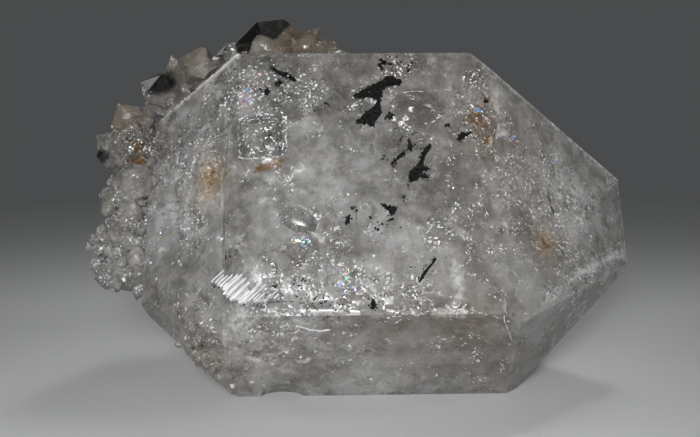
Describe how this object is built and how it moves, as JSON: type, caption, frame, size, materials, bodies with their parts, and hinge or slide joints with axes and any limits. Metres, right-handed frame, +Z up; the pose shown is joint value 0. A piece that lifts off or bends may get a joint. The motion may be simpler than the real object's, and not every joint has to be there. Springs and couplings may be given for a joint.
{
  "type": "quartz crystal specimen",
  "caption": "Doubly terminated herkimer diamond quartz crystal with smaller crystals grown over one end and black anthraxolite in its front, standing on a flat face.",
  "frame": {"origin": "middle of the specimen's outline, on the surface that it stands on", "axes": "+X along the main crystal's length, away from the small crystals, +Z up, the broad front with the anthraxolite faces -Y"},
  "size_m": [0.1162, 0.0692, 0.075],
  "materials": {
    "quartz": "clear to milky, bright crystal faces",
    "anthraxolite": "black, half dull"
  },
  "bodies": {
    "root": {"quartz_cluster": "quartz", "anthraxolite_fork": "anthraxolite", "anthraxolite_streak": "anthraxolite", "anthraxolite_left": "anthraxolite", "anthraxolite_right": "anthraxolite", "anthraxolite_wedge": "anthraxolite"}
  },
  "joints": []
}
